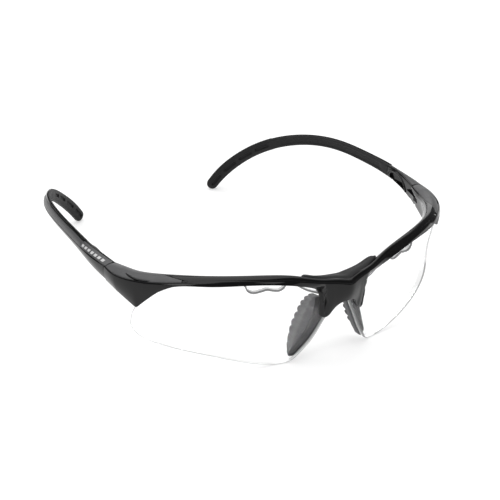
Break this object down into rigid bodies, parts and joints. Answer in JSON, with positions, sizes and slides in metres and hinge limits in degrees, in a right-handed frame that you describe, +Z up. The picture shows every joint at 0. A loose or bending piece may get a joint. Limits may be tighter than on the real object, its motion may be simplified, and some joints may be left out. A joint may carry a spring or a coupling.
{
  "type": "sports protective goggles",
  "caption": "Half-rim wrap-around sports goggles with clear curved lenses, soft nose and brow pads, and temples that fold inward on screw hinges.",
  "frame": {"origin": "on the table under the middle of the goggles' overall length and width, with the temples open", "axes": "+Z up, +Y from the lenses back along the temples, +X towards the wearer's left"},
  "size_m": [0.138, 0.158, 0.0392],
  "materials": {
    "frame": "glossy black injection moulding",
    "trim": "satin dark grey",
    "lens": "clear polished polycarbonate",
    "rubber": "matte soft-touch",
    "steel": "turned",
    "brass": "turned"
  },
  "bodies": {
    "front": {"front_frame": "frame", "brow_pad": "rubber", "lens_left": "lens", "nose_pad_left": "rubber", "brow_inlay_left": "trim", "hinge_screw_left": "steel", "hinge_insert_left": "brass", "lens_right": "lens", "nose_pad_right": "rubber", "brow_inlay_right": "trim", "hinge_screw_right": "steel", "hinge_insert_right": "brass"},
    "temple_left": {"temple_arm_left": "frame", "temple_inlay_left": "trim", "temple_pad_left": "rubber"},
    "temple_right": {"temple_arm_right": "frame", "temple_inlay_right": "trim", "temple_pad_right": "rubber"}
  },
  "joints": [
    {"name": "temple_left_fold", "type": "hinge", "parent": "front", "child": "temple_left", "pos_m": [0.0638, -0.02959, 0.0311], "axis": [0, 0, 1], "range_deg": [0, 83]},
    {"name": "temple_right_fold", "type": "hinge", "parent": "front", "child": "temple_right", "pos_m": [-0.0638, -0.02959, 0.0311], "axis": [0, 0, -1], "range_deg": [0, 76]}
  ]
}
